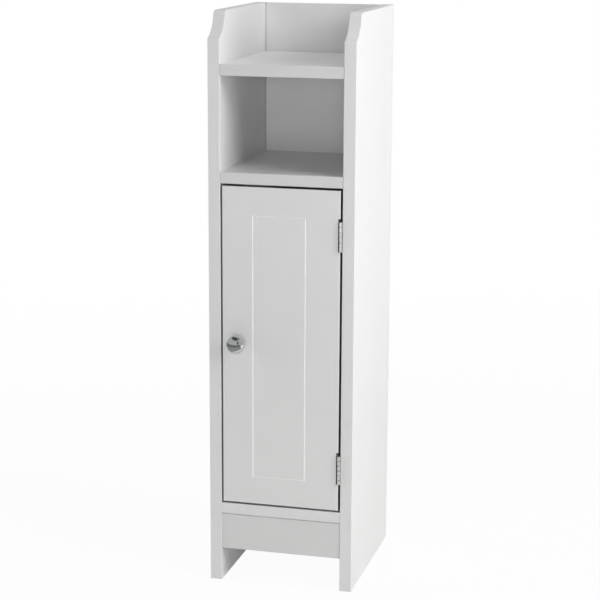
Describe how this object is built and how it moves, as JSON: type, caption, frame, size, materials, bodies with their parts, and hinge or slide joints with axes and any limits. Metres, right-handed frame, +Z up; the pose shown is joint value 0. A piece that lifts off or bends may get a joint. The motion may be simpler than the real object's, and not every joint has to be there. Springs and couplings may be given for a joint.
{
  "type": "slim bathroom cabinet",
  "caption": "Slim floor-standing bathroom cabinet with scooped side panels, an open gallery and niche, and an inset hinged door with a round knob.",
  "frame": {"origin": "centre of the overall outline, knob included, at the floor", "axes": "+X to the right across the width, +Y from the door to the back, +Z up"},
  "size_m": [0.2, 0.254, 0.78],
  "materials": {
    "white_paint": "satin white paint on MDF",
    "white_back_board": "satin white foil on hardboard",
    "chrome": "polished",
    "nickel_hinge": "nickel plated, satin",
    "zinc_screw": "bright zinc plated",
    "zinc_fitting": "die-cast zinc, dull",
    "beech_dowel": "bare beech",
    "white_plastic": "moulded, fine grained",
    "ferrite": "sintered, dull",
    "plated_steel": "bright zinc plated"
  },
  "bodies": {
    "carcass": {"left_side_panel": "white_paint", "right_side_panel": "white_paint", "back_panel": "white_back_board", "gallery_shelf": "white_paint", "niche_shelf": "white_paint", "bottom_panel": "white_paint", "plinth_board": "white_paint", "inner_shelf": "white_paint", "shelf_pins": "zinc_fitting", "cam_locks": "zinc_fitting", "cam_bolts": "zinc_fitting", "wooden_dowels": "beech_dowel", "hinge_frame_screws": "zinc_screw", "upper_hinge_frame_leaf": "nickel_hinge", "upper_hinge_pin": "nickel_hinge", "lower_hinge_frame_leaf": "nickel_hinge", "lower_hinge_pin": "nickel_hinge", "catch_housing": "white_plastic", "catch_magnet": "ferrite", "catch_pole_plates": "plated_steel", "catch_screws": "zinc_screw"},
    "door": {"door_panel": "white_paint", "knob": "chrome", "knob_screw": "zinc_screw", "upper_hinge_door_leaf": "nickel_hinge", "lower_hinge_door_leaf": "nickel_hinge", "hinge_door_screws": "zinc_screw", "strike_plate": "plated_steel", "strike_screw": "zinc_screw"}
  },
  "joints": [
    {"name": "door_hinge", "type": "hinge", "parent": "carcass", "child": "door", "pos_m": [0.0815, -0.1042, 0.3334], "axis": [0, 0, 1], "range_deg": [0, 180]}
  ]
}
